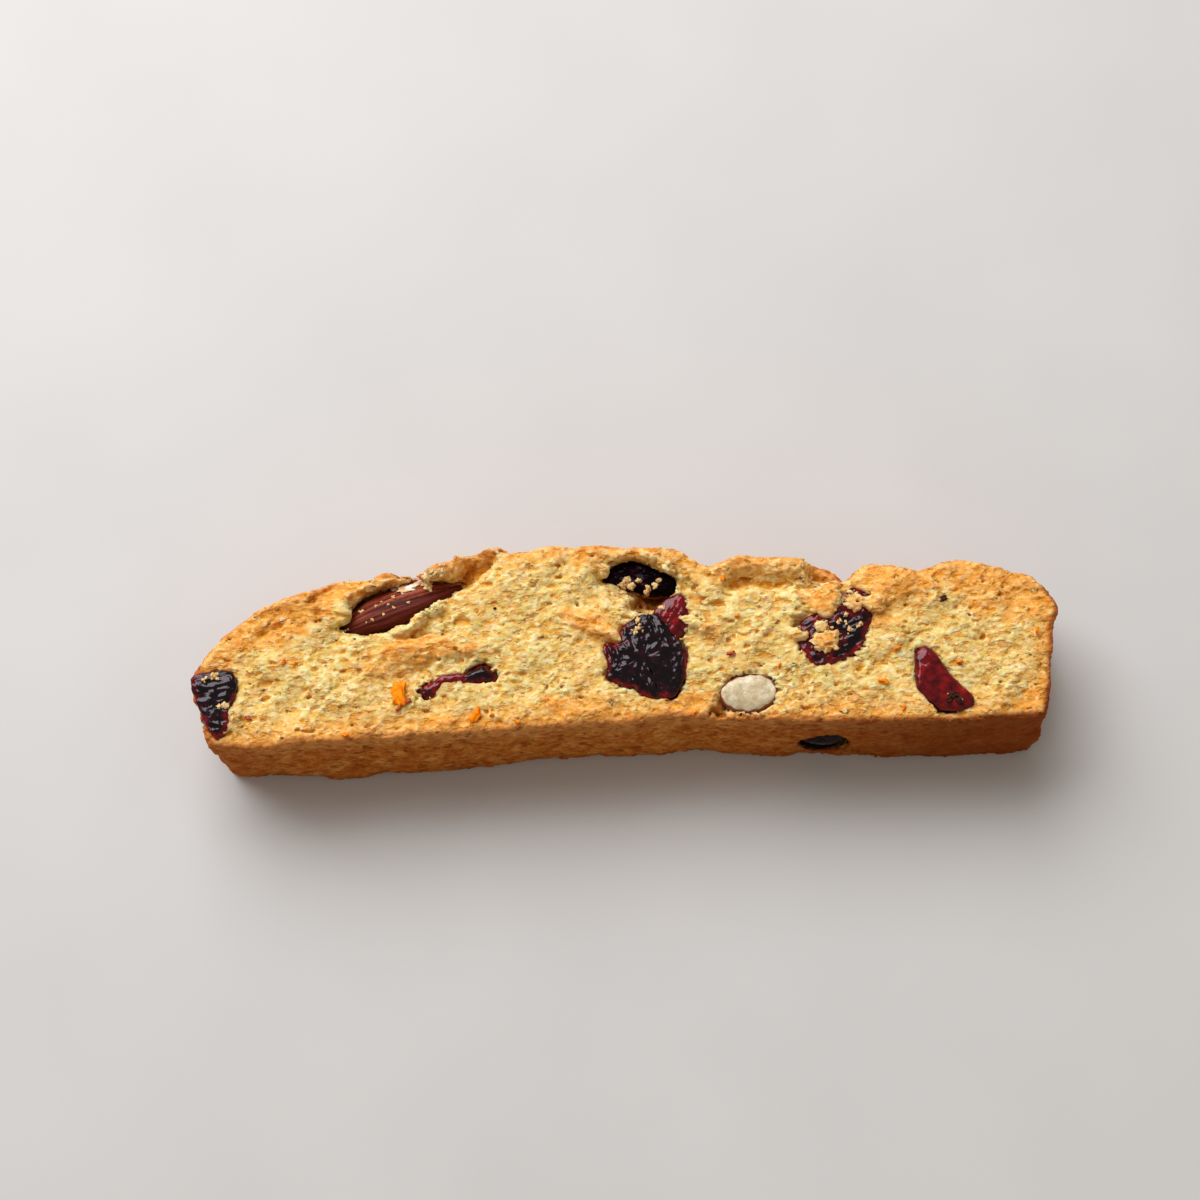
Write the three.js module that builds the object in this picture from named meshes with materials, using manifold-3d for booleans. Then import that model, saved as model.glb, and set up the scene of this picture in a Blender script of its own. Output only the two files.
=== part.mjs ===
// A cranberry and almond biscotti: one thick slice cut across a low, domed loaf and
// lying on its lower cut face. The dough is one solid, with the nuts and the dried
// cranberries that show at its faces seated in pockets of their own.
//
// Millimetres. +X runs along the slice, +Y goes from the loaf's flat base crust to its
// domed crust, and +Z goes up through the slice. The origin is at the middle of the
// lower cut face.

import * as THREE from 'three';
import { mergeVertices } from 'three/addons/utils/BufferGeometryUtils.js';
import Module from 'manifold-3d';

const wasm = await Module();
wasm.setup();

// ---------------------------------------------------------------- driving dimensions

const THICKNESS = 18.6; // from the lower cut face to the level of the upper one
const POCKET_GAP = 0.3; // clear space between a nut or berry and its pocket
const STRIP_GAP = 0.45; // the same for the thin strip of berry, whose sides are steep
const END_LEAN = 1.6; // how far the left end leans in at the bottom
const BASE_SWELL = 0.35; // how far the base crust bows out at mid thickness
const DOME_SWELL = 1.1; // how far the domed crust bows out below the cut
const CUT_NUT_PROUD = 0.15; // how far the cut almond stands above the cut face
const MOUTH_ROOM = 1.2; // space above the cut almond that its pocket leaves open

// The edges of the slice, each as [position along it, offset].
// Domed crust along the upper cut face: [x, y] from the left end to the right end.
const DOME_EDGE = [
  [-70.4, -2.4], [-69.4, 0.4], [-65.7, 4.6], [-59.2, 9.2], [-53, 11.2], [-45.2, 13.6],
  [-38.4, 13.3], [-34.4, 13.6], [-29, 14.8], [-27.2, 17.4], [-19.6, 17.7], [-17.5, 16.8], [-14, 17.7],
  [-2.4, 17.3], [9, 16.3], [14.2, 12.8], [18.6, 15], [25.6, 14.4], [32.5, 13.4],
  [36.2, 11], [39.3, 13], [43.6, 12.3], [47.6, 11.2], [54.6, 12.9], [62.6, 10.7],
  [66.6, 9.4], [69.3, 6.2], [70.4, 3.2],
];
// Base crust along the upper cut face, and along the lower one.
const BASE_EDGE_UPPER = [
  [-70.4, -11.4], [-68.6, -12.8], [-65.4, -14.1], [-55.8, -14.1], [-46.2, -13.3],
  [-21.3, -12.9], [-5.2, -12.4], [1.2, -12.2], [5.3, -11.4], [10.9, -11.9],
  [31.7, -13.4], [52.6, -14.2], [66.5, -13.8], [70.4, -12.4],
];
const BASE_EDGE_LOWER = [
  [-70.4, -11.8], [-67.9, -13.7], [-65.9, -14.9], [-56.3, -15.1], [-49.6, -16.1],
  [-22, -14.9], [-14.5, -13.9], [1.4, -14.2], [11.5, -13.5], [21.4, -15], [25.8, -15.2],
  [28.2, -14.3], [37.3, -15.7], [53.2, -16.3], [68, -15.8], [70.4, -13.8],
];
// The two ends, from the base crust to where the dome begins: [y, x].
const END_SPAN = { base: -14, dome: 3 };
const LEFT_END = [[-16, -67.6], [-12.6, -68.6], [-5.7, -70], [-2.4, -70.4]];
const RIGHT_END = [[-16, 66], [-13.2, 67.1], [-8.7, 68], [-1.3, 69.3], [3.2, 70.4]];

// Hollows and ledges of the upper cut face. Each is an ellipse of half sizes rx and ry
// at x, y, turned by turn degrees, and drop is how far the face sinks there (a negative
// drop rises). Edge is the share of the radius over which the drop fades out.
const RELIEF = [
  { x: -37, y: 8.4, rx: 11.6, ry: 3.6, turn: 19.5, drop: 1.7, edge: 0.5 }, // almond's bed
  { x: -25.5, y: 13.9, rx: 4.2, ry: 2, turn: 25, drop: 4.6, edge: 0.4 }, // by the almond
  { x: 2.2, y: 12.2, rx: 7.4, ry: 3.3, turn: -8, drop: 4.4, edge: 0.35 }, // back hollow
  { x: 4.6, y: 8.6, rx: 4.6, ry: 2.4, turn: 35, drop: 4.8, edge: 0.4 }, // dark cavity
  { x: 22.5, y: 10.2, rx: 8.8, ry: 2, turn: -4, drop: 2.6, edge: 0.7 }, // below the ridge
  { x: 33.2, y: 12, rx: 4.2, ry: 3.8, turn: -12, drop: 4.2, edge: 0.35 }, // lost chip
  { x: 36.6, y: 11.8, rx: 1.6, ry: 2.6, turn: 0, drop: 3.2, edge: 0.6 }, // notch
  { x: 27.9, y: 3.6, rx: 1.8, ry: 1.7, turn: 0, drop: 2.2, edge: 0.6 }, // shadowed hollow
  { x: 14.4, y: -9.9, rx: 2.4, ry: 1.4, turn: -50, drop: 2.6, edge: 0.5 }, // by the cut nut
  { x: -59, y: 7.4, rx: 7.5, ry: 1, turn: 24, drop: 0.8, edge: 0.8 }, // groove in the rim
  { x: -33, y: -2.4, rx: 11, ry: 2.2, turn: -3, drop: 0.9, edge: 0.6 }, // under the ledge
  { x: -33, y: 1.2, rx: 10.5, ry: 2.2, turn: 2, drop: -0.7, edge: 0.8 }, // toasted ledge
  { x: -5.6, y: 4.4, rx: 5, ry: 2.6, turn: -35, drop: -0.6, edge: 0.8 }, // toasted lump
  { x: -9.6, y: -9.6, rx: 5, ry: 2, turn: -30, drop: -0.6, edge: 0.8 }, // toasted lump
  { x: 43, y: 9, rx: 5, ry: 3, turn: 0, drop: -0.6, edge: 0.8 }, // chunk at the dome
];

// Uneven surface of the crumb and of the crusts: [waves per mm in x, in y, in z, height].
const RIPPLES = [
  [0.31, 0.52, 0.2, 0.2],
  [-0.57, 0.83, 0.4, 0.14],
  [1.05, -0.71, 0.9, 0.1],
  [1.62, 1.4, -1.1, 0.08],
];

// The dough is gridded evenly in each direction.
const DOUGH_STEPS = { x: 62, y: 13, z: 4 };
const BERRY_STEPS = { round: 14, down: 8 }; // round only counts for the front one
const FULLNESS = 0.8; // how boxy a berry is in section: 1 is round, less is fuller
const NUT_STEPS = { round: 14, along: 10 };
const STRIP_STEPS = { round: 8, along: 14 };

const COLOURS = {
  crumb: 0xe1bc6e,
  skin: 0x7a2f1c,
  kernel: 0xd8c8a2,
  darkBerry: 0x2e1018,
  redBerry: 0x7d0f1c,
};

// ------------------------------------------------------------------------- helpers

const DEGREE = Math.PI / 180;

function smooth(t) {
  const s = THREE.MathUtils.clamp(t, 0, 1);
  return s * s * (3 - 2 * s);
}

// The offset at a position along an edge, straight between its points.
function along(edge, position) {
  let k = 1;
  while (k < edge.length - 1 && edge[k][0] < position) {
    k += 1;
  }
  const [from, a] = edge[k - 1];
  const [to, b] = edge[k];
  const t = THREE.MathUtils.clamp((position - from) / (to - from), 0, 1);
  return a + (b - a) * t;
}

function ripple(x, y, z) {
  return RIPPLES.reduce(
    (sum, [fx, fy, fz, height]) => sum + height * Math.sin(fx * x + fy * y + fz * z),
    0,
  );
}

// Rewrites each vertex of a geometry with a function of its position.
function reshape(geometry, place) {
  geometry.deleteAttribute('normal');
  geometry.deleteAttribute('uv');
  const merged = mergeVertices(geometry, 1e-5);
  const position = merged.attributes.position;
  const point = new THREE.Vector3();
  for (let i = 0; i < position.count; i += 1) {
    point.fromBufferAttribute(position, i);
    place(point);
    position.setXYZ(i, point.x, point.y, point.z);
  }
  return merged;
}

function toSolid(geometry) {
  return new wasm.Manifold(new wasm.Mesh({
    numProp: 3,
    vertProperties: new Float32Array(geometry.attributes.position.array),
    triVerts: new Uint32Array(geometry.index.array),
  }));
}

function toGeometry(solid) {
  const mesh = solid.getMesh();
  const geometry = new THREE.BufferGeometry();
  geometry.setAttribute('position', new THREE.BufferAttribute(mesh.vertProperties, 3));
  geometry.setIndex(new THREE.BufferAttribute(mesh.triVerts, 1));
  geometry.computeVertexNormals();
  return geometry;
}

// --------------------------------------------------------------------------- dough

function cutFaceLevel(x, y) {
  let level = THICKNESS + ripple(x, y, 0);
  for (const { x: cx, y: cy, rx, ry, turn, drop, edge } of RELIEF) {
    const c = Math.cos(turn * DEGREE);
    const s = Math.sin(turn * DEGREE);
    const lengthways = ((x - cx) * c + (y - cy) * s) / rx;
    const across = (-(x - cx) * s + (y - cy) * c) / ry;
    level -= drop * smooth((1 - Math.hypot(lengthways, across)) / edge);
  }
  return level;
}

// The loaf slice: a gridded box bent to the four edges of its cut faces. The lower cut
// face stays flat, and the rest carries the ripple of the crumb and crust.
function dough() {
  const box = new THREE.BoxGeometry(
    1, 1, 1, DOUGH_STEPS.x, DOUGH_STEPS.y, DOUGH_STEPS.z,
  );
  return toSolid(reshape(box, (p) => {
    const u = p.x + 0.5;
    const v = p.y + 0.5;
    const up = p.z + 0.5;
    const bow = Math.sin(Math.PI * up);
    const endY = THREE.MathUtils.lerp(END_SPAN.base, END_SPAN.dome, v);
    const left = along(LEFT_END, endY) + END_LEAN * (1 - up);
    const right = along(RIGHT_END, endY);
    const x = THREE.MathUtils.lerp(left, right, u);
    const base = THREE.MathUtils.lerp(
      along(BASE_EDGE_LOWER, x), along(BASE_EDGE_UPPER, x), up,
    ) - BASE_SWELL * bow;
    const dome = along(DOME_EDGE, x) + DOME_SWELL * bow * bow;
    const y = THREE.MathUtils.lerp(base, dome, v);
    const z = up * cutFaceLevel(x, y);
    const uneven = ripple(x, y, z) * (1 - Math.abs(2 * up - 1) ** 4);
    p.x = x + uneven * (2 * u - 1) ** 3;
    p.y = y + uneven * (2 * v - 1) ** 3;
    p.z = z;
  }));
}

// ------------------------------------------------------------------ nuts and berries

// A dried berry: widest at its outline, which lies at one level. From there it crowns
// by its rise and goes down by its depth. Each point of the outline is one spoke from
// the middle, and the spokes are shared out in order round the ball that is bent.
function berry({ outline, level, rise, depth }, grow = 0) {
  const middle = outline
    .reduce((sum, [x, y]) => sum.add(new THREE.Vector2(x, y)), new THREE.Vector2())
    .divideScalar(outline.length);
  const spokes = outline
    .map(([x, y]) => new THREE.Vector2(x, y).sub(middle))
    .sort((a, b) => a.angle() - b.angle());
  const ball = new THREE.SphereGeometry(1, spokes.length, BERRY_STEPS.down);
  return toSolid(reshape(ball, (p) => {
    const turn = Math.atan2(p.z, -p.x) / (2 * Math.PI) + 1;
    const spoke = spokes[Math.round(turn * spokes.length) % spokes.length];
    const share = Math.sin((Math.hypot(p.x, p.z) * Math.PI) / 2) ** FULLNESS;
    const radius = share * (spoke.length() + grow);
    const height = p.y > 0 ? rise + grow : depth + grow;
    p.set(
      middle.x + radius * Math.cos(spoke.angle()),
      middle.y + radius * Math.sin(spoke.angle()),
      level + Math.sign(p.y) * Math.abs(p.y) ** FULLNESS * height,
    );
  }));
}

// A whole or cut almond: a pointed, flattened ball of revolution about its length.
function almond({ length, width, thickness }, grow = 0) {
  const ball = new THREE.SphereGeometry(1, NUT_STEPS.round, NUT_STEPS.along);
  return reshape(ball, (p) => {
    const t = p.y;
    const girth = (1 - 0.2 * t) * (1 - 0.35 * t * t);
    p.set(
      t * (length / 2 + grow),
      -p.x * girth * (thickness / 2 + grow),
      p.z * girth * (width / 2 + grow),
    );
  });
}

function placed(geometry, { at, turns }) {
  const spin = new THREE.Euler(...turns.map((angle) => angle * DEGREE), 'ZYX');
  const matrix = new THREE.Matrix4().makeRotationFromEuler(spin);
  return toSolid(geometry.applyMatrix4(matrix.setPosition(...at)));
}

// The whole almond lies half on edge just inside the domed crust, with its pointed end
// to the right and its upper face turned to the crust. Its pocket is open above.
const WHOLE_ALMOND = { length: 21.6, width: 8.8, thickness: 6.2 };
const WHOLE_ALMOND_PLACE = { at: [-37, 9.1, 15], turns: [40, 0, 19.5] };
const WHOLE_ALMOND_MOUTH = [1.5, 3, 4.5]; // rises of the nut that sweep its mouth out

function wholeAlmond(grow) {
  const nut = placed(almond(WHOLE_ALMOND, grow), WHOLE_ALMOND_PLACE);
  if (grow === 0) {
    return nut;
  }
  return WHOLE_ALMOND_MOUTH.reduce(
    (solid, rise) => solid.add(placed(almond(WHOLE_ALMOND), WHOLE_ALMOND_PLACE)
      .translate([0, 0, rise])),
    nut,
  );
}

// The cut almond stands in the dough, sliced off level with the cut face.
const CUT_ALMOND = { length: 20, width: 8.8, thickness: 6.1 };
const CUT_ALMOND_PLACE = { at: [19.3, -8.1, 16.6], turns: [0, 80, 5] };

const BERRIES = {
  cranberry_left_end: {
    colour: 'darkBerry',
    level: THICKNESS - 0.1,
    rise: 0.8,
    depth: 6,
    outline: [
      [-70.5, -2.5], [-69.2, -1.8], [-66.8, -1.6], [-64, -1.7], [-63.7, -3.3],
      [-63.9, -5.8], [-64.9, -7.2], [-64.7, -9.8], [-65.4, -11.5], [-66.5, -12.1],
      [-67.7, -10.5], [-68.8, -7.5], [-69.7, -5],
    ],
  },
  cranberry_back: {
    colour: 'darkBerry',
    level: THICKNESS - 3.6,
    rise: 1.2,
    depth: 3.4,
    outline: [
      [-3.7, 12.2], [-2.2, 13.9], [-0.5, 14.7], [1.2, 15.2], [2.9, 14.9], [4.6, 14.1],
      [6.5, 13], [8.3, 11.4], [7.5, 10.4], [5, 9.8], [3.1, 10.3], [1, 11.2], [-1, 11.8],
    ],
  },
  cranberry_middle: {
    colour: 'darkBerry',
    level: THICKNESS - 0.3,
    rise: 0.9,
    depth: 5.4,
    outline: [
      [4, 5.6], [1.6, 4.5], [-0.6, 3.4], [-1.8, 0.8], [-4, 0.5], [-2.9, -2.2],
      [-3.8, -4.6], [-2.8, -5.6], [0.2, -6.1], [3, -8.2], [4.9, -7.8], [6.7, -8.4],
      [8.4, -5.4], [9.3, -2], [8.5, 0], [6.6, 2.2], [5.4, 4.2],
    ],
  },
  cranberry_flap: {
    colour: 'redBerry',
    level: THICKNESS - 1,
    rise: 1.1,
    depth: 4,
    outline: [
      [4.6, 5.9], [6.6, 7.7], [8.6, 8.5], [9.2, 8.2], [9.8, 5.8], [10.6, 3.5],
      [8.8, 2.9], [7.6, 1.4], [6.6, 3.4], [5.4, 5],
    ],
  },
  cranberry_under_crumbs: {
    colour: 'darkBerry',
    level: THICKNESS - 0.6,
    rise: 0.9,
    depth: 5.2,
    outline: [
      [27.8, 1.8], [28.8, 3.7], [32.8, 5], [35.4, 7.6], [37.2, 8.5], [39.2, 7.6],
      [40.3, 6.6], [39.4, 4], [38.3, 1.6], [37.8, -1.2], [36.2, -2.4], [33.5, -3.2],
      [31.4, -3.9], [29.6, -3.6], [28, -1.2],
    ],
  },
  cranberry_right: {
    colour: 'redBerry',
    level: THICKNESS - 0.1,
    rise: 0.9,
    depth: 4.4,
    outline: [
      [47.6, -1.9], [46.6, -3.1], [46.6, -5.5], [46.5, -8.4], [47.1, -9.4],
      [49.9, -11.8], [52.2, -12], [55, -11.6], [54.7, -10.3], [52.7, -8.6],
      [50.4, -5.5], [49.6, -3.7], [48.5, -2.5],
    ],
  },
};

// The strip of cranberry skin: a thin bent band, with a lobe at each end.
const STRIP = {
  from: -34,
  to: -21.6,
  crown: THICKNESS + 0.35,
  depth: 4.4,
  bend: [[-34, -6], [-31.6, -5.4], [-30, -3.7], [-25.8, -4.1], [-23.4, -2.9], [-21.6, -4]],
  half: [[-34, 0.9], [-32.6, 1.25], [-30, 0.75], [-26, 0.8], [-23.4, 1.6], [-21.6, 1]],
};

function strip({ from, to, crown, depth, bend, half }, grow = 0) {
  const ball = new THREE.SphereGeometry(1, STRIP_STEPS.round, STRIP_STEPS.along);
  return toSolid(reshape(ball, (p) => {
    const x = THREE.MathUtils.lerp(from, to, (p.y + 1) / 2);
    const girth = Math.sqrt(Math.max(1 - p.y * p.y, 0));
    const full = girth > 0 ? Math.sin((girth * Math.PI) / 2) ** 0.6 / girth : 0;
    p.set(
      x + grow * p.y,
      along(bend, x) - p.x * full * (along(half, x) + grow),
      crown - depth / 2 + p.z * full * (depth / 2 + grow),
    );
  }));
}

// The cranberry in the base crust lies back from the mouth of its hole.
const FRONT_BERRY = { at: [31.9, -12.1, 6.4], half: [4.4, 2, 4.6] };
const FRONT_MOUTH = { at: [31.9, -14.9, 6.4], half: [4.7, 1.7, 4.9] };

function ellipsoid({ at, half }, grow = 0) {
  const ball = new THREE.SphereGeometry(1, BERRY_STEPS.round, BERRY_STEPS.down);
  return toSolid(reshape(ball, (p) => {
    p.set(
      at[0] + p.x * (half[0] + grow),
      at[1] - p.z * (half[1] + grow),
      at[2] + p.y * (half[2] + grow),
    );
  }));
}

// A block above a level, over the cut almond, which slices the nut off flat.
function slabAbove(level) {
  const size = CUT_ALMOND.length * 2;
  const [x, y] = CUT_ALMOND_PLACE.at;
  const block = new THREE.BoxGeometry(size, size, size);
  return toSolid(reshape(block, (p) => {
    p.set(p.x + x, p.y + y, p.z + level + size / 2);
  }));
}

// ------------------------------------------------------------------------ assembly

const pieces = [
  {
    name: 'almond_whole',
    colour: 'skin',
    make: wholeAlmond,
  },
  {
    name: 'almond_cut',
    colour: 'kernel',
    make: (grow) => placed(almond(CUT_ALMOND, grow), CUT_ALMOND_PLACE)
      .subtract(slabAbove(THICKNESS + (grow > 0 ? MOUTH_ROOM : CUT_NUT_PROUD))),
  },
  {
    name: 'cranberry_strip',
    colour: 'darkBerry',
    make: (grow) => strip(STRIP, grow > 0 ? STRIP_GAP : 0),
  },
  {
    name: 'cranberry_front',
    colour: 'darkBerry',
    make: (grow) => ellipsoid(FRONT_BERRY, grow),
  },
  ...Object.entries(BERRIES).map(([name, shape]) => ({
    name,
    colour: shape.colour,
    make: (grow) => berry(shape, grow),
  })),
];

function mesh(name, solid, colour) {
  const look = {
    color: COLOURS[colour],
    roughness: colour === 'crumb' ? 0.9 : 0.45,
    metalness: 0,
  };
  const piece = new THREE.Mesh(toGeometry(solid), new THREE.MeshStandardMaterial(look));
  piece.name = name;
  return piece;
}

// Each piece is cut clear of those seated before it, and its pocket is cut in the dough.
const biscotti = new THREE.Group();
const pockets = [];
let crumb = dough().subtract(ellipsoid(FRONT_MOUTH));
for (const { name, colour, make } of pieces) {
  const clear = pockets.reduce((solid, pocket) => solid.subtract(pocket), make(0));
  const pocket = make(POCKET_GAP);
  crumb = crumb.subtract(pocket);
  pockets.push(pocket);
  biscotti.add(mesh(name, clear, colour));
}
// A pocket near an edge can cut a sliver loose, which is left out.
const loaf = crumb.decompose().reduce((a, b) => (b.volume() > a.volume() ? b : a));
biscotti.add(mesh('dough', loaf, 'crumb'));

// The origin is the middle of the lower cut face's box.
const box = new THREE.Box3().setFromObject(biscotti);
const middle = box.getCenter(new THREE.Vector3());
biscotti.position.set(-middle.x, -middle.y, -box.min.z);

export default biscotti;
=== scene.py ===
"""The looks of a cranberry and almond biscotti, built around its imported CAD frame.

The dough is a scalar field on a grid: the CAD dough's distance, roughened by band-passed
noise and eaten by pores, and turned into a mesh. Nuts, berries and crumbs are meshes
made from their own CAD solids. Everything is in metres, in the part's own frame.
"""

import itertools
import math

import bmesh
import bpy
import numpy as np
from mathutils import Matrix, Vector, noise
from mathutils.bvhtree import BVHTree


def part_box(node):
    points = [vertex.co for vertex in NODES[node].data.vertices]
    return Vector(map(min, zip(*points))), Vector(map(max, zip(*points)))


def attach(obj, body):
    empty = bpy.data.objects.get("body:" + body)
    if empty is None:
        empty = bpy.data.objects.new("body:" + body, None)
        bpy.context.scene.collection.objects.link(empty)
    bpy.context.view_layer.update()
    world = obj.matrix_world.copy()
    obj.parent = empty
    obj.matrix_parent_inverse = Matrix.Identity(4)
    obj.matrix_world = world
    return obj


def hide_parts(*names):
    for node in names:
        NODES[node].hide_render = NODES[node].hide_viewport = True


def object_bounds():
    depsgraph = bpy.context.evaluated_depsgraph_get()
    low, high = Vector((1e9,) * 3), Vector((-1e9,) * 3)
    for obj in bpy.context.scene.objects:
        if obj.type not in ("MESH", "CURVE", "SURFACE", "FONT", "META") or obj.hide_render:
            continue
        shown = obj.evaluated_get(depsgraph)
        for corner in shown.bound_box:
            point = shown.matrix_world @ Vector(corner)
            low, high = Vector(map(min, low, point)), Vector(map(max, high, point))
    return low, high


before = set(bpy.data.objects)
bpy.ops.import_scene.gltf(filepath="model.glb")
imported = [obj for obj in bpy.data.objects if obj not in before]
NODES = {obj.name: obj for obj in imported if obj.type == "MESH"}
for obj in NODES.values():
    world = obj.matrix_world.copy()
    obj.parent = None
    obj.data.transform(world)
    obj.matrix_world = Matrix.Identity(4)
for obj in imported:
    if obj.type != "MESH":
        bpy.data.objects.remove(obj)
CAD_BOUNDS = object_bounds()

MM = 0.001
SEED = 7
BERRIES = [name for name in NODES if name.startswith("cranberry")]
NUTS = ["almond_whole", "almond_cut"]
SNUG = ["cranberry_left_end", "cranberry_middle", "cranberry_under_crumbs", "cranberry_right"]
SNUG += ["cranberry_strip", "almond_cut"]  # the ones that the crumb closes around
DOUGH_LOW, DOUGH_HIGH = (np.array(corner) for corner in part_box("dough"))
FACE = 18.6 * MM  # the level of the upper cut face


def beside(node, dx=0.0, dy=0.0):
    """The middle of a CAD node's box in plan, moved by dx and dy millimetres."""
    low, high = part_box(node)
    return np.array([(low[k] + high[k]) / 2 + shift * MM for k, shift in ((0, dx), (1, dy))])


# ------------------------------------------------------------------------ the dough's grid

GRID_STEP = 0.25 * MM
GRID_MARGIN = 1.4 * MM
COARSE = 0.9 * MM
REACH = 3.0 * MM  # how far from the surface the distance is measured
FILLING_STEP = 0.55 * MM
FILLING_REACH = 1.5 * MM
MAX_DOUGH_FACES = 195000
SMALLEST_PART = 300  # vertices; a looser scrap of dough than this is left out


def grid_axes(low, high, step):
    """The coordinates of a grid's planes along x, y and z."""
    return [low[k] + step * np.arange(int((high[k] - low[k]) / step) + 2) for k in range(3)]


def solid_tree(names):
    """One search tree over the triangles of some CAD nodes."""
    points = []
    faces = []
    for name in names:
        mesh = NODES[name].data
        start = len(points)
        points += [v.co.copy() for v in mesh.vertices]
        faces += [[start + k for k in p.vertices] for p in mesh.polygons]
    return BVHTree.FromPolygons(points, faces)


def solid_distance(tree, axes, reach):
    """Signed distance to closed solids at a grid's points, negative inside, capped at reach."""
    xs, ys, zs = axes
    distance = np.full((len(xs), len(ys), len(zs)), reach)
    up = Vector((0, 0, 1))
    for i, x in enumerate(xs):
        for j, y in enumerate(ys):
            z = zs[0] - MM
            crossings = []
            while True:
                hit = tree.ray_cast(Vector((x, y, z)), up)[0]
                if hit is None:
                    break
                crossings.append(hit.z)
                z = hit.z + 1e-6
            inside = np.searchsorted(crossings, zs) % 2 == 1 if crossings else zs < -1e9
            for k, z in enumerate(zs):
                near = tree.find_nearest(Vector((x, y, z)), reach)[3]
                distance[i, j, k] = reach if near is None else near
            distance[i, j, inside] *= -1
    return distance


def resample(values, axes, new_axes):
    """Linear interpolation of a grid onto other planes, one axis at a time."""
    for k in range(3):
        at = np.interp(new_axes[k], axes[k], np.arange(len(axes[k])))
        low = np.minimum(at.astype(int), len(axes[k]) - 2)
        part = (at - low).reshape([-1 if n == k else 1 for n in range(3)])
        values = np.take(values, low, k) * (1 - part) + np.take(values, low + 1, k) * part
    return values.astype(np.float32)


class Noise:
    """Seeded band-passed noise on the dough's grid, each layer with unit spread."""

    def __init__(self, shape, step, seed):
        self.shape = shape
        self.random = np.random.default_rng(seed)
        self.freq = [np.fft.fftfreq(n, step) for n in shape[:2]] + [np.fft.rfftfreq(shape[2], step)]

    def band(self, wave, width=0.45, stretch=(1, 1, 1)):
        """Noise around one wavelength; stretch lengthens it along x, y or z."""
        fx, fy, fz = np.meshgrid(*self.freq, indexing="ij", sparse=True)
        f = np.sqrt((fx * stretch[0]) ** 2 + (fy * stretch[1]) ** 2 + (fz * stretch[2]) ** 2)
        gain = np.exp(-(((f * wave) - 1) / width) ** 2)
        white = self.random.standard_normal(self.shape, dtype=np.float32)
        layer = np.fft.irfftn(np.fft.rfftn(white) * gain, self.shape)
        return (layer / layer.std()).astype(np.float32)


def blur(values, sigma, step):
    """A Gaussian blur of a grid, by its spectrum, with its edges held."""
    pad = int(3 * sigma / step)
    padded = np.pad(values, pad, mode="edge")
    freq = [np.fft.fftfreq(n, step) for n in padded.shape[:2]]
    freq.append(np.fft.rfftfreq(padded.shape[2], step))
    fx, fy, fz = np.meshgrid(*freq, indexing="ij", sparse=True)
    gain = np.exp(-2 * (math.pi * sigma) ** 2 * (fx**2 + fy**2 + fz**2))
    result = np.fft.irfftn(np.fft.rfftn(padded) * gain, padded.shape)
    inner = tuple(slice(pad, pad + n) for n in values.shape)
    return result[inner].astype(np.float32)


def ramp(values, start, end):
    """A smooth step from 0 at start to 1 at end."""
    t = np.clip((values - start) / (end - start), 0, 1)
    return t * t * (3 - 2 * t)


# ------------------------------------------------------------------- field to mesh


def surface_net(field, axes, step):
    """The field's zero level as quads: a vertex for each crossed cell, a quad for each edge."""
    inside = field < 0
    nx, ny, nz = field.shape
    count = np.zeros((nx - 1, ny - 1, nz - 1), np.int8)
    for dx, dy, dz in itertools.product((0, 1), repeat=3):
        count += inside[dx : nx - 1 + dx, dy : ny - 1 + dy, dz : nz - 1 + dz]
    crossed = (count > 0) & (count < 8)
    index = np.full(crossed.shape, -1, np.int64)
    index[crossed] = np.arange(crossed.sum())
    cells = np.argwhere(crossed)
    total = np.zeros((len(cells), 3))
    hits = np.zeros(len(cells))
    for axis in range(3):
        unit = np.eye(3, dtype=int)[axis]
        for offset in itertools.product((0, 1), repeat=3):
            if offset[axis]:
                continue
            p = cells + offset
            q = p + unit
            fp = field[tuple(p.T)]
            fq = field[tuple(q.T)]
            cut = (fp < 0) != (fq < 0)
            t = fp[cut] / (fp[cut] - fq[cut])
            total[cut] += np.array(offset) + t[:, None] * unit
            hits[cut] += 1
    low = np.array([a[0] for a in axes])
    points = low + step * (cells + total / hits[:, None])
    quads = []
    for axis in range(3):
        u = np.eye(3, dtype=int)[(axis + 1) % 3]
        v = np.eye(3, dtype=int)[(axis + 2) % 3]
        change = np.diff(inside.astype(np.int8), axis=axis)
        edges = np.argwhere(change != 0)
        edges = edges[(edges @ u > 0) & (edges @ v > 0)]
        edges = edges[(edges @ u < np.array(field.shape) @ u - 1)]
        edges = edges[(edges @ v < np.array(field.shape) @ v - 1)]
        ring = [index[tuple((edges - d).T)] for d in (0 * u, u, u + v, v)]
        quad = np.stack(ring, 1)
        out = change[tuple(edges.T)] > 0
        quad[out] = quad[out][:, ::-1]
        quads.append(quad)
    return points, np.concatenate(quads)


def drop_small_parts(points, quads, least):
    """Leaves out loose parts with fewer than least vertices."""
    label = np.arange(len(points))
    while True:
        low = label[quads].min(1)
        new = label.copy()
        for k in range(4):
            np.minimum.at(new, quads[:, k], low)
        new = new[new]
        if (new == label).all():
            break
        label = new
    size = np.bincount(label, minlength=len(points))
    keep = size[label] >= least
    number = np.cumsum(keep) - 1
    return points[keep], number[quads[keep[quads[:, 0]]]]


def sample(values, axes, points):
    """Linear interpolation of a grid at points."""
    at = [np.interp(points[:, k], axes[k], np.arange(len(axes[k]))) for k in range(3)]
    low = [np.minimum(a.astype(int), len(axes[k]) - 2) for k, a in enumerate(at)]
    part = [a - b for a, b in zip(at, low)]
    result = np.zeros(len(points))
    for corner in itertools.product((0, 1), repeat=3):
        weight = np.ones(len(points))
        for k, c in enumerate(corner):
            weight *= part[k] if c else 1 - part[k]
        result += weight * values[tuple(low[k] + c for k, c in enumerate(corner))]
    return result


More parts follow.
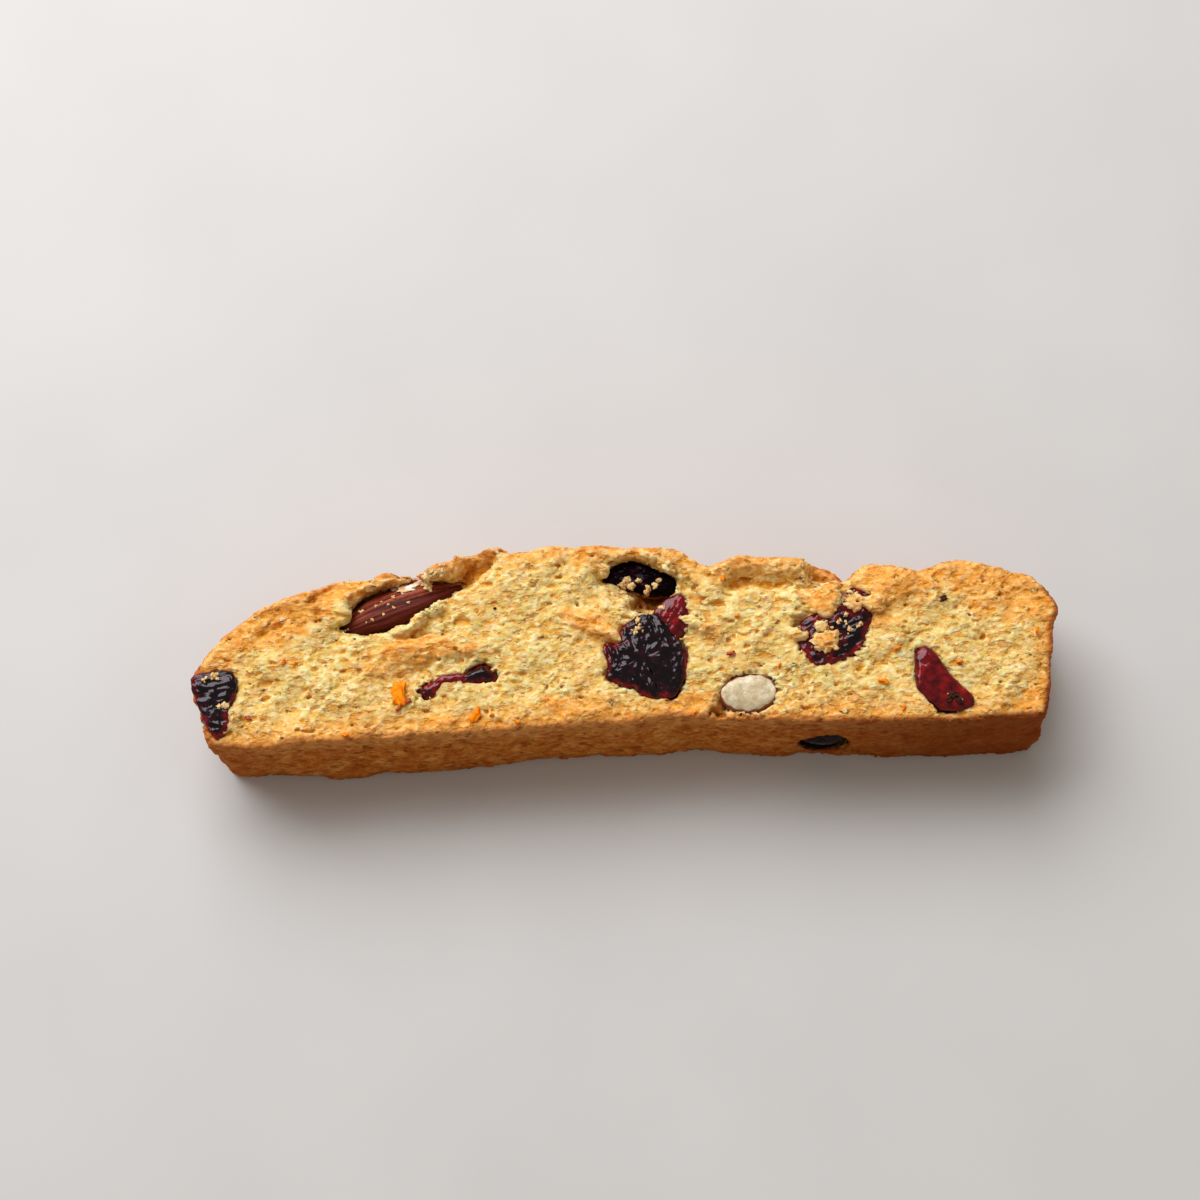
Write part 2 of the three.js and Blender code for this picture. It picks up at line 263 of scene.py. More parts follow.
def new_object(name, points, faces, smooth=True):
    """A mesh object in the scene."""
    mesh = bpy.data.meshes.new(name)
    mesh.from_pydata(np.asarray(points).tolist(), [], np.asarray(faces).tolist())
    mesh.update()
    if smooth:
        mesh.shade_smooth()
    piece = bpy.data.objects.new(name, mesh)
    bpy.context.scene.collection.objects.link(piece)
    return piece


def bake_modifiers(piece):
    """Applies an object's modifiers to its mesh."""
    graph = bpy.context.evaluated_depsgraph_get()
    mesh = bpy.data.meshes.new_from_object(piece.evaluated_get(graph))
    piece.modifiers.clear()
    piece.data = mesh


def vertex_array(mesh):
    """A mesh's vertex places as rows."""
    values = np.zeros(len(mesh.vertices) * 3, np.float32)
    mesh.vertices.foreach_get("co", values)
    return values.reshape(-1, 3).astype(float)


def paint(mesh, name, values):
    """A per-vertex number that a material reads by name."""
    layer = mesh.attributes.new(name, "FLOAT", "POINT")
    layer.data.foreach_set("value", np.asarray(values, np.float32))


# ----------------------------------------------------------------------------- dough


def crust_depth(tree, axes):
    """How far inside the loaf's outer crust each grid point is: nothing for the cut faces."""
    xs, ys, zs = axes
    levels = [1 * MM, 0.62 * DOUGH_HIGH[2]]
    top_level = DOUGH_HIGH[2] - 1.6 * MM

    def reach_in(origin, direction, k):
        hit = tree.ray_cast(Vector(origin), Vector(direction))[0]
        return np.nan if hit is None else hit[k]

    def fill(values):
        good = ~np.isnan(values)
        return np.interp(np.arange(len(values)), np.flatnonzero(good), values[good])

    far = 0.3
    front = [fill(np.array([reach_in((x, -far, z), (0, 1, 0), 1) for x in xs]))
             for z in (levels[0], top_level)]
    back = [fill(np.array([reach_in((x, far, z), (0, -1, 0), 1) for x in xs])) for z in levels]
    left = [fill(np.array([reach_in((-far, y, z), (1, 0, 0), 0) for y in ys])) for z in levels]
    right = [fill(np.array([reach_in((far, y, z), (-1, 0, 0), 0) for y in ys])) for z in levels]

    def blend(pair, span):
        t = np.clip((zs - span[0]) / (span[1] - span[0]), 0, 1)
        return pair[0][:, None] * (1 - t) + pair[1][:, None] * t

    y = ys[None, :, None]
    x = xs[:, None, None]
    depth = np.minimum(
        y - blend(front, (levels[0], top_level))[:, None, :],
        blend(back, levels)[:, None, :] - y,
    )
    depth = np.minimum(depth, x - blend(left, levels)[None, :, :])
    depth = np.minimum(depth, blend(right, levels)[None, :, :] - x)
    return depth.astype(np.float32)


# Toasted patches of the cut face: node they lie beside, offset, half sizes, turn in
# degrees, how toasted, and how far they stand up (all lengths in millimetres).
TOASTED = [
    ("cranberry_strip", (-5.2, 5.3), (10.2, 2.3), 4, 1.0, 0.45),
    ("cranberry_strip", (-12, 2.4), (4.5, 1.6), 0, 0.5, 0.2),
    ("cranberry_middle", (-8.3, 5.6), (4.9, 1.9), -26, 1.0, 0.5),
    ("cranberry_middle", (-12.2, -8.8), (5.4, 1.7), -28, 0.9, 0.35),
    ("cranberry_strip", (-1, -7.2), (5.5, 1.6), 5, 0.6, 0.1),
    ("cranberry_left_end", (1.5, 7.5), (3.2, 2.4), 40, 1.0, 0.0),
    ("cranberry_under_crumbs", (9.6, 6.6), (6, 3.4), 0, 0.75, 0.35),
    ("cranberry_under_crumbs", (7, 2.6), (3.4, 2.8), 0, 0.8, 0.2),
    ("cranberry_right", (11, 14.5), (11, 5.5), -22, 0.85, 0.0),
    ("cranberry_right", (15.5, -5), (3.6, 3), 30, 0.8, 0.1),
    ("almond_cut", (-8, -1.5), (4.5, 2.2), 8, 0.8, 0.1),
    ("almond_cut", (0, 22.3), (5.4, 1.4), 0, 0.5, 0.1),
    ("cranberry_flap", (6.2, -3.4), (2.2, 2), 0, 0.6, 0.3),
    ("almond_whole", (-19, -1.2), (12, 4), 27, 1.0, 0.0),
    ("almond_whole", (-8, 3), (7, 2), 25, 0.8, 0.0),
    ("almond_whole", (-5, 4), (6, 1.6), 10, 0.7, 0.0),
    ("cranberry_under_crumbs", (-1.9, 4.6), (3.2, 3.2), 0, 0.9, 0.0),
    ("cranberry_under_crumbs", (2.9, 2.9), (2, 2.6), 0, 0.95, 0.0),
    ("cranberry_under_crumbs", (-2.0, -2.2), (3.2, 2.6), 0, 0.95, 0.0),
    ("cranberry_middle", (-7, 3.6), (2.6, 1.4), -20, 0.8, 0.0),
]

# Lumps of crumb that lie over a berry or the almond's edge: node, offset from its middle,
# level above the cut face, half sizes, turn in degrees.
CRUMB_LUMPS = [
    ("cranberry_under_crumbs", (-1.9, 4.6), 0.1, (2.7, 2.9, 1.4), 15),
    ("cranberry_under_crumbs", (2.9, 2.9), 0.5, (1.6, 2.2, 1.0), -10),
    ("cranberry_under_crumbs", (5.6, 3.2), 0.2, (1.8, 1.5, 1.2), 0),
    ("cranberry_under_crumbs", (-2.4, -2.6), 0.7, (2.4, 1.6, 0.9), -15),
    ("cranberry_under_crumbs", (-0.8, -2.2), 0.7, (1.4, 1.1, 0.7), 20),
    ("cranberry_under_crumbs", (-2.9, -0.2), 0.7, (1.0, 0.9, 0.7), 0),
    ("cranberry_under_crumbs", (-6.3, -1.2), 0.3, (2.3, 1.1, 1.0), -12),
    ("almond_whole", (0.4, -4.7), -0.4, (2.1, 1.3, 1.5), 15),
    ("almond_whole", (3.0, -3.4), -0.3, (1.8, 1.1, 1.5), 30),
    ("almond_whole", (6.8, -0.9), -0.4, (1.6, 0.9, 1.6), 40),
    ("almond_whole", (-9.2, -1.4), -0.5, (1.5, 1.3, 1.5), 0),
    ("almond_whole", (-8.4, 1.5), -0.6, (1.7, 1.0, 1.5), 50),
    ("almond_whole", (-5.6, 3.2), -0.7, (2.0, 0.9, 1.4), 30),
    ("almond_whole", (-2.6, 4.6), -1.1, (2.2, 0.8, 1.3), 15),
    ("almond_whole", (6.4, 5.3), 0.0, (2.0, 1.1, 1.3), 20),
    ("cranberry_flap", (3.5, -1.4), 0.0, (1.9, 1.0, 0.8), -20),
    ("cranberry_middle", (-5.6, 3.6), 0.2, (2.4, 1.1, 1.1), -25),
    ("cranberry_back", (-2.6, 3.3), -1.1, (2.6, 1.0, 1.4), 10),
    ("cranberry_back", (1.6, 3.1), -1.1, (2.4, 0.9, 1.4), -25),
    ("cranberry_back", (-5.9, 1.0), -1.1, (1.3, 1.6, 1.4), 0),
    ("cranberry_back", (4.6, 1.2), -1.1, (1.6, 0.8, 1.3), -40),
]


# Holes torn in the crumb: node, offset, level above the face, half sizes, turn.
CAVITIES = [
    ("almond_cut", (-4.9, -3.0), -0.6, (1.5, 0.8, 2.2), -25),
    ("cranberry_flap", (-4.2, 3.6), -1.6, (4.2, 1.5, 3.4), 28),
    ("cranberry_flap", (2.6, 4.4), 0.3, (3.2, 1.2, 1.4), -50),
    ("almond_whole", (11.4, 4.9), -1.2, (1.8, 1.2, 2.6), 25),
    ("cranberry_strip", (-11, 10.2), -0.3, (1.0, 0.5, 0.9), 20),
    ("cranberry_under_crumbs", (-5.5, 1.4), -0.2, (1.1, 0.7, 1.0), 0),
    ("almond_whole", (-13.5, -2.5), 0.1, (1.4, 0.6, 0.9), 15),
    ("almond_whole", (-20.5, -3.2), 0.1, (2.2, 0.8, 1.0), 30),
    ("almond_whole", (-12, 2.4), 0.1, (3.0, 0.7, 1.1), 25),
]


def oblong(axes, at, half, turn):
    """Distance from at as a share of a turned ellipse's radius, over the grid's plan."""
    x = axes[0][:, None] - at[0]
    y = axes[1][None, :] - at[1]
    c, s = math.cos(math.radians(turn)), math.sin(math.radians(turn))
    return np.hypot((x * c + y * s) / (half[0] * MM), (-x * s + y * c) / (half[1] * MM))


def lump(axes, at, level, half, turn):
    """A rough distance to an ellipsoid, in metres, for joining a lump to the dough."""
    plan = oblong(axes, at, half, turn)[:, :, None]
    w = (axes[2][None, None, :] - level) / (half[2] * MM)
    return ((np.hypot(plan, w) - 1) * min(half) * MM).astype(np.float32)


def join(a, b, soft):
    """The union of two distances with a fillet about as wide as soft."""
    t = np.clip(0.5 + 0.5 * (b - a) / soft, 0, 1)
    return b * (1 - t) + a * t - soft * t * (1 - t)


# The dough's rounded relief, from large to small: wavelength, stretch of the noise along
# each axis, height on the crust and how much is added on the crumb (in millimetres).
RELIEF = [
    (3.2, (1.4, 1, 1), 0.03, 0.03),
    (1.9, (1.4, 1, 1.1), 0.06, 0.03),
    (1.2, (1.3, 1, 1), 0.08, 0.05),
    (0.8, (1.2, 1, 1), 0.05, 0.05),
]
MEAN_SIZE = 0.8  # the mean of a unit-spread noise layer's absolute value
TOP_LEVEL = -10  # a level of the grid near the cut face
CLOSED_BELOW = 0.5 * MM  # the crumb closes round the nuts and berries this far under the face
BACKING = 0.5 * MM  # the least crust behind the whole almond
BACKED_TOP = 14.5 * MM  # the crust there is kept closed up to this height
CLEARANCE = 0.08 * MM  # between the dough and the nuts and berries
# Pores and tunnels open where their noise is above a level; depths in millimetres.
PORE_AT, PORE_DEPTH = 1.3, 0.8
TUNNEL_AT, TUNNEL_DEPTH = 2.1, 2


def make_dough():
    """The dough's mesh, with the numbers that its material reads painted on it."""
    margin = np.full(3, GRID_MARGIN)
    axes = grid_axes(DOUGH_LOW - margin, DOUGH_HIGH + margin, GRID_STEP)
    coarse = grid_axes(DOUGH_LOW - margin, DOUGH_HIGH + margin, COARSE)
    dough_tree = solid_tree(["dough"])
    field = resample(solid_distance(dough_tree, coarse, REACH), coarse, axes)
    fine = grid_axes(DOUGH_LOW - margin, DOUGH_HIGH + margin, FILLING_STEP)
    snug = resample(solid_distance(solid_tree(SNUG), fine, FILLING_REACH), fine, axes)
    others = [name for name in BERRIES + NUTS if name not in SNUG]
    others = resample(solid_distance(solid_tree(others), fine, FILLING_REACH), fine, axes)
    fillings = np.minimum(snug, others)

    depth = crust_depth(dough_tree, axes)
    z = axes[2][None, None, :]
    crumb = ramp(depth, 0.3 * MM, 1.5 * MM)
    layers = Noise(field.shape, GRID_STEP, SEED)
    broad = layers.band(8 * MM)
    relief = [layers.band(wave * MM, stretch=stretch) for wave, stretch, _, _ in RELIEF]
    lumps, grain = relief[:2]
    ragged = lumps[:, :, TOP_LEVEL] + 0.6 * grain[:, :, TOP_LEVEL]

    # crumb closes around the snug nuts and berries, and crust behind the whole almond
    field = join(field, np.maximum(snug, z - FACE + CLOSED_BELOW), 0.5 * MM)
    backed = np.maximum(others - BACKING, z - BACKED_TOP)
    backed = np.maximum(backed, -axes[1][None, :, None])
    field = join(field, backed.astype(np.float32), 0.3 * MM)
    for node, offset, above, half, turn in CRUMB_LUMPS:
        at = beside(node, *offset)
        field = join(field, lump(axes, at, FACE + above * MM, half, turn), 0.5 * MM)
    toast = np.zeros(field.shape[:2], np.float32)
    stand = np.zeros(field.shape[:2], np.float32)
    for node, offset, half, turn, amount, rise in TOASTED:
        far = oblong(axes, beside(node, *offset), half, turn) + 0.16 * ragged
        toast = np.maximum(toast, amount * ramp(far, 1.15, 0.7))
        stand += rise * MM * ramp(far, 1.05, 0.75)
    hole = np.full(field.shape, REACH, np.float32)
    for node, offset, above, half, turn in CAVITIES:
        at = beside(node, *offset)
        hole = np.minimum(hole, lump(axes, at, FACE + above * MM, half, turn))
    hole += 0.18 * MM * ragged[:, :, None]
    field = -join(-field, hole, 0.4 * MM)
    near_face = ramp(z, FACE - 4 * MM, FACE - 2 * MM)
    field -= stand[:, :, None] * near_face * crumb

    torn = np.tanh(4 * (layers.band(6 * MM, stretch=(1.5, 1, 1)) + 0.5 * lumps))
    field += MM * (0.1 + 0.08 * crumb) * broad
    field += MM * 0.08 * crumb * torn
    for layer, (_, _, on_crust, more) in zip(relief, RELIEF):
        field -= MM * (on_crust + more * crumb) * (np.abs(layer) - MEAN_SIZE)

    shell = ramp(field, -1.6 * MM, -0.3 * MM)
    pores = layers.band(1.3 * MM, 0.5, stretch=(1.7, 1, 1.1))
    field += MM * shell * (0.3 + 0.7 * crumb) * np.clip(pores - PORE_AT, 0, 1) * PORE_DEPTH
    tunnels = layers.band(3 * MM, 0.5, stretch=(2, 1, 1))
    field += MM * shell * crumb * np.clip(tunnels - TUNNEL_AT, 0, 1) * TUNNEL_DEPTH

    # the crumb stays clear of the nuts and berries, and the lower face is flat
    field = np.maximum(field, CLEARANCE - fillings)
    field = np.maximum(field, -z)

    points, quads = surface_net(field, axes, GRID_STEP)
    points, quads = drop_small_parts(points, quads, SMALLEST_PART)
    dough = new_object("crumb_and_crust", points, quads)
    share = MAX_DOUGH_FACES / (2 * len(quads))
    if share < 1:
        decimate = dough.modifiers.new("fewer", "DECIMATE")
        decimate.ratio = share
        bake_modifiers(dough)
    mesh = dough.data
    mesh.shade_smooth()
    place = vertex_array(mesh)
    solid = (field < 0).astype(np.float32)
    # share of solid round each point; from it the material paints shade into pits and light onto
    # peaks
    paint(mesh, "pit", 2 * sample(blur(solid, 0.5 * MM, GRID_STEP), axes, place) - 1)
    # the same over a wider reach, for painted shade in hollows
    paint(mesh, "hollow", 2 * sample(blur(solid, 1.8 * MM, GRID_STEP), axes, place) - 1)
    paint(mesh, "depth", sample(depth, axes, place) / MM)
    paint(mesh, "near_berry", berry_nearness(place))
    # painted shadow: the crumb round the front berry's hole is drawn near black
    low, high = (np.array(c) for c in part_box("cranberry_front"))
    reach = (place - (low + high) / 2) / ((high - low) / 2 + np.array([0.3, 3, 0.8]) * MM)
    paint(mesh, "front_hole_shadow", ramp(np.sqrt((reach**2).sum(1)), 1.08, 0.95))
    # where painted shade goes inside the torn holes
    paint(mesh, "hole", ramp(sample(hole, axes, place), 0.25 * MM, -0.35 * MM))
    paint(mesh, "toast", sample(toast[:, :, None] * near_face, axes, place))
    return dough


def berry_nearness(place):
    """How close a point is to a cranberry: 1 at it, 0 from 2.5 mm away."""
    tree = solid_tree(BERRIES)
    far = 2.5 * MM
    result = np.zeros(len(place))
    for k, co in enumerate(place):
        near = tree.find_nearest(Vector(co), far)[3]
        if near is not None:
            result[k] = 1 - near / far
    return result


# --------------------------------------------------------------------------- materials


class Shader:
    """A short way to write a node material."""

    def __init__(self, name):
        self.material = bpy.data.materials.new(name)
        self.material.use_nodes = True
        self.tree = self.material.node_tree
        self.main = self.tree.nodes["Principled BSDF"]

    def node(self, kind, inputs=None, **settings):
        node = self.tree.nodes.new("ShaderNode" + kind)
        for key, value in settings.items():
            setattr(node, key, value)
        for key, value in (inputs or {}).items():
            if isinstance(value, bpy.types.NodeSocket):
                self.tree.links.new(value, node.inputs[key])
            else:
                node.inputs[key].default_value = value
        return node

    def attribute(self, name):
        return self.node("Attribute", attribute_name=name).outputs["Fac"]

    def position(self):
        return self.node("NewGeometry").outputs["Position"]

    def parts(self, vector):
        return self.node("SeparateXYZ", {0: vector}).outputs[:3]

    def noise(self, scale_mm, detail=2.0, rough=0.5, where=None):
        place = where if where is not None else self.position()
        node = self.node(
            "TexNoise",
            {"Vector": place, "Scale": 1000 / scale_mm, "Detail": detail, "Roughness": rough},
        )
        return node.outputs["Fac"]

    def cells(self, size_mm, where):
        """How far a point is from the middle of the nearest of many random cells."""
        place = self.node("TexVoronoi", {"Vector": where, "Scale": 1000 / size_mm})
        return place.outputs["Distance"]

    def math(self, operation, a, b=0.0, clamp=False):
        node = self.node("Math", {0: a, 1: b}, operation=operation, use_clamp=clamp)
        return node.outputs[0]

    def ramp(self, value, stops):
        node = self.node("ValToRGB", {"Fac": value})
        elements = node.color_ramp.elements
        while len(elements) < len(stops):
            elements.new(0.5)
        for element, (at, colour) in zip(elements, stops):
            element.position = at
            element.color = (*colour, 1)
        return node.outputs["Color"]

    def span(self, value, low, high, to_low=0.0, to_high=1.0):
        node = self.node(
            "MapRange",
            {
                "Value": value,
                "From Min": low,
                "From Max": high,
                "To Min": to_low,
                "To Max": to_high,
            },
            clamp=True,
        )
        return node.outputs["Result"]

    def mix(self, share, a, b):
        node = self.node("Mix", data_type="RGBA", clamp_factor=True)
        for key, value in ((0, share), (6, a), (7, b)):
            if isinstance(value, bpy.types.NodeSocket):
                self.tree.links.new(value, node.inputs[key])
            elif key == 0:
                node.inputs[key].default_value = value
            else:
                node.inputs[key].default_value = (*value, 1)
        return node.outputs[2]

    def bump(self, height, distance_mm, strength):
        inputs = {"Height": height, "Distance": distance_mm * MM, "Strength": strength}
        return self.node("Bump", inputs).outputs["Normal"]

    def set(self, **values):
        for key, value in values.items():
            socket = self.main.inputs[key.replace("_", " ")]
            if isinstance(value, bpy.types.NodeSocket):
                self.tree.links.new(value, socket)
            else:
                socket.default_value = value


def srgb(red, green, blue):
    """Linear colour from 0 to 255 screen values."""
    return tuple(((c / 255 + 0.055) / 1.055) ** 2.4 for c in (red, green, blue))


# Where the dough's tones change, each from where it starts to where it is full.
DEEP_SHADE_Z = (16.8 * MM, 13.8 * MM)  # painted shade: crumb deep in a hollow is drawn brown
EDGE_Z = (13.5 * MM, 18.5 * MM)  # crust is paler towards the cut face
FOOT_Z = (3 * MM, 0.5 * MM)  # and browner at its foot
END_X = (50 * MM, 70 * MM)  # and at both ends
DARK_FRONT_X = (15 * MM, 50 * MM)  # and at the right of the front
DARK_FRONT_Y = (-5 * MM, -12 * MM)


def dough_material():
    """Pale open crumb that turns toasted and then to brown crust towards the outside, with painted
    shade in its hollows and pits and painted light on its peaks.
    """
    s = Shader("baked_crumb")
    pit = s.attribute("pit")
    hollow = s.attribute("hollow")
    depth = s.attribute("depth")
    place = s.position()
    x, y, z = s.parts(place)
    flat = s.node("Mapping", {"Vector": place, "Scale": (0.62, 1, 1)}).outputs[0]
    patches = s.noise(10, 3, 0.6)
    speckle = s.noise(1.1, 3, 0.65, flat)
    grain = s.noise(0.5, 3, 0.65)
    holes = s.span(s.noise(1.0, 2, 0.5, flat), 0.57, 0.66)
    wander = s.node("TexNoise", {"Vector": flat, "Scale": 1000 / 0.8, "Detail": 2}).outputs["Color"]
    bent = s.node("VectorMath", {0: wander, 1: (0.7 * MM,) * 3}, operation="MULTIPLY")
    bent = s.node("VectorMath", {0: flat, 1: bent.outputs[0]}, operation="ADD").outputs[0]
    granule = s.cells(0.75, bent)

    pale = s.ramp(
        speckle,
        [(0.34, srgb(228, 190, 100)), (0.5, srgb(236, 214, 142)), (0.66, srgb(242, 231, 180))],
    )
    toasted = s.ramp(
        speckle,
        [(0.34, srgb(226, 146, 58)), (0.5, srgb(242, 178, 92)), (0.66, srgb(248, 204, 134))],
    )
    near_crust = s.span(depth, 5.5, 0.8, 0, 0.95)
    toast = s.math("ADD", near_crust, s.span(patches, 0.5, 0.72, 0, 0.45))
    toast = s.math("ADD", toast, s.attribute("toast"), clamp=True)
    colour = s.mix(toast, pale, toasted)
    # painted light: the exposed peaks of the crumb are drawn paler
    colour = s.mix(s.span(pit, -0.15, -0.5, 0, 0.4), colour, srgb(250, 234, 196))
    # painted shade: the crumb's pits are drawn a deeper, warmer gold
    colour = s.mix(s.span(pit, 0.0, 0.35, 0, 0.75), colour, srgb(238, 168, 52))
    # painted shade: the small bumped pores are drawn dark orange
    colour = s.mix(s.math("MULTIPLY", holes, 0.65), colour, srgb(214, 138, 34))
    # painted shade: the crevices between the crumb's granules are drawn darker
    colour = s.mix(s.span(granule, 0.5, 0.85, 0, 0.42), colour, srgb(224, 146, 40))
    # painted shade: the crumb is drawn darker gold in hollows
    colour = s.mix(s.span(hollow, 0.15, 0.5, 0, 0.75), colour, srgb(216, 138, 28))
    # painted shade: crumb deep in a hollow and inside the torn holes is drawn brown
    deep_shade = s.math("MULTIPLY", s.span(z, *DEEP_SHADE_Z, 0, 0.85), s.span(depth, 0.6, 2.0))
    colour = s.mix(s.math("MAXIMUM", deep_shade, s.math("MULTIPLY", s.attribute("hole"), 0.75)),
                   colour, srgb(176, 98, 14))

    crust_tone = s.ramp(
        s.noise(2.2, 4, 0.7),
        [(0.32, srgb(168, 80, 22)), (0.5, srgb(200, 116, 42)), (0.7, srgb(226, 160, 84))],
    )
    crust_tone = s.mix(s.span(z, *EDGE_Z, 0, 0.55), crust_tone, srgb(236, 172, 100))
    # painted shade: the crevices between the crust's granules are drawn darker
    crust_tone = s.mix(s.span(granule, 0.45, 0.8, 0, 0.45), crust_tone, srgb(150, 70, 18))
    ends = s.span(s.math("ABSOLUTE", x), *END_X, 0, 0.55)
    low = s.span(z, *FOOT_Z, 0, 0.5)
    crust_tone = s.mix(s.math("MAXIMUM", ends, low), crust_tone, srgb(160, 72, 20))
    front_right = s.math("MULTIPLY", s.span(x, *DARK_FRONT_X, 0, 0.8), s.span(y, *DARK_FRONT_Y))
    crust_tone = s.mix(front_right, crust_tone, srgb(130, 56, 16))
    # painted shade: small bumped pits in the crust are drawn dark
    spots = s.span(s.noise(1.3, 2, 0.5, flat), 0.58, 0.68, 0, 0.75)
    crust_tone = s.mix(spots, crust_tone, srgb(140, 64, 16))
    colour = s.mix(s.span(depth, 1.3, 0.5), colour, crust_tone)
    near = s.span(s.attribute("near_berry"), 0.68, 0.98)
    stain = s.math("MULTIPLY", near, s.span(speckle, 0.35, 0.6))
    colour = s.mix(s.math("MULTIPLY", near, 0.5), colour, srgb(216, 120, 40))
    colour = s.mix(s.math("MULTIPLY", stain, 0.8), colour, srgb(140, 30, 24))
    # painted shadow: near black round the front berry's hole
    colour = s.mix(s.attribute("front_hole_shadow"), colour, srgb(24, 8, 5))

    height = s.math("ADD", s.math("MULTIPLY", speckle, 0.5), s.math("MULTIPLY", grain, 0.4))
    height = s.math("SUBTRACT", height, s.math("MULTIPLY", granule, 0.45))
    height = s.math("SUBTRACT", height, s.math("MULTIPLY", holes, 0.6))
    height = s.math("SUBTRACT", height, s.math("MULTIPLY", spots, 0.5))
    s.set(
        Base_Color=colour,
        Roughness=0.95,
        Specular_IOR_Level=0.08,
        Normal=s.bump(height, 0.5, 0.8),
        Subsurface_Weight=0.5,
        Subsurface_Radius=(1.0, 0.5, 0.1),
        Subsurface_Scale=1.4 * MM,
    )
    return s.material


def berry_material(name, ruby, gloss=0.38):
    """Dried cranberry, near black and redder with ruby and near the crumb."""
    s = Shader(name)
    rim = s.attribute("rim")
    streak = s.noise(1.6, 3, 0.6)
    dark = s.ramp(
        streak,
        [
            (0.38, (0.0015, 0.0006, 0.001)),
            (0.56, (0.005, 0.001, 0.003)),
            (0.72, (0.04, 0.002, 0.01)),
        ],
    )
    red = s.ramp(
        streak,
        [(0.32, (0.035, 0.001, 0.002)), (0.5, (0.13, 0.002, 0.004)), (0.7, (0.27, 0.006, 0.006))],
    )
    share = s.span(s.math("ADD", rim, s.math("MULTIPLY", streak, 0.8)), 0.8 - ruby, 1.25 - ruby)
    s.set(
        Base_Color=s.mix(share, dark, red),
        Roughness=s.span(s.noise(2.2, 2), 0.4, 0.6, 0.09, 0.17),
        Specular_IOR_Level=gloss,
        Specular_Tint=(0.95, 0.85, 0.95, 1),
        Normal=s.bump(s.noise(0.9, 2, 0.5), 0.1, 0.6),
    )
    return s.material


def almond_skin_material():
    """Brown papery skin, with painted shade darkening its furrows and its lower side."""
    s = Shader("almond_skin")
    groove = s.attribute("groove")
    colour = s.ramp(
        s.math("ADD", s.math("MULTIPLY", groove, 0.7), s.math("MULTIPLY", s.noise(0.7, 3), 0.3)),
        [(0.25, srgb(54, 8, 3)), (0.5, srgb(118, 40, 20)), (0.85, srgb(172, 88, 56))],
    )
    s.set(
        Base_Color=s.mix(s.attribute("shade"), colour, srgb(78, 12, 3)),
        Roughness=0.55,
        Specular_IOR_Level=0.2,
        Normal=s.bump(s.noise(0.35, 3), 0.12, 0.7),
    )
    return s.material


def kernel_material():
    """Waxy cream kernel with a thin brown rim of skin."""
    s = Shader("almond_kernel")
    cream = s.ramp(
        s.noise(1.5, 4, 0.65),
        [(0.35, srgb(192, 170, 130)), (0.52, srgb(212, 197, 163)), (0.68, srgb(236, 229, 210))],
    )
    wax = s.noise(0.9, 3, 0.6)
    s.set(
        Base_Color=s.mix(s.span(s.attribute("skin"), 0.5, 0.8), cream, srgb(136, 62, 36)),
        Roughness=s.span(wax, 0.4, 0.6, 0.22, 0.5),
        Normal=s.bump(wax, 0.18, 0.8),
    )
    return s.material


def assign(piece, material):
    piece.data.materials.clear()
    piece.data.materials.append(material)


# ------------------------------------------------------------------------ berries, nuts

GROWTH = 0.12 * MM  # every almond and berry fills its pocket by this much more
BERRY_SPREAD = 0.4 * MM  # and its sides by this much again
KERNEL_SPREAD = 0.3 * MM
SUBDIVISIONS = 3
RIM_REACH = 1.7 * MM  # how far from the crumb a berry is redder
ALMOND_DIRECTION = math.radians(19.5)
ALMOND_HALF = 11 * MM


def refined(node, name, spread=0):
    """A smooth, fine copy of a CAD node, grown so that its sides meet the crumb."""
    piece = bpy.data.objects.new(name, NODES[node].data.copy())
    bpy.context.scene.collection.objects.link(piece)
    weld = bmesh.new()
    weld.from_mesh(piece.data)
    bmesh.ops.remove_doubles(weld, verts=weld.verts, dist=1e-6)
    weld.to_mesh(piece.data)
    weld.free()
    smooth = piece.modifiers.new("smooth", "SUBSURF")
    smooth.levels = SUBDIVISIONS
    smooth.render_levels = SUBDIVISIONS
    bake_modifiers(piece)
    push(piece, lambda _, normal: GROWTH + spread * (1 - abs(normal[2])))
    return piece


def push(piece, amount):
    """Moves each vertex along its normal."""
    mesh = piece.data
    place = vertex_array(mesh)
    normals = np.array([n.vector for n in mesh.vertex_normals])
    shift = np.array([amount(co, n) for co, n in zip(place, normals)])
    place += normals * shift.reshape(-1, 1)
    mesh.vertices.foreach_set("co", place.astype(np.float32).ravel())
    mesh.update()
    mesh.shade_smooth()


# How each berry's skin is folded: wavelength of the folds along and across their own
# direction, the direction in degrees, and their height (lengths in millimetres).
FOLDS = {
    "cranberry_left_end": (4, 1.3, 8, 0.24),
    "cranberry_middle": (7, 1.5, -68, 0.55),
    "cranberry_strip": (3.5, 1.2, 15, 0.22),
    "cranberry_back": (4, 1.6, -20, 0.28),
    "cranberry_under_crumbs": (2.6, 1.5, 30, 0.3),
    "cranberry_front": (3, 1.6, 0, 0.2),
    "cranberry_flap": (5, 1.9, 60, 0.22),
    "cranberry_right": (6, 3, -60, 0.2),
}


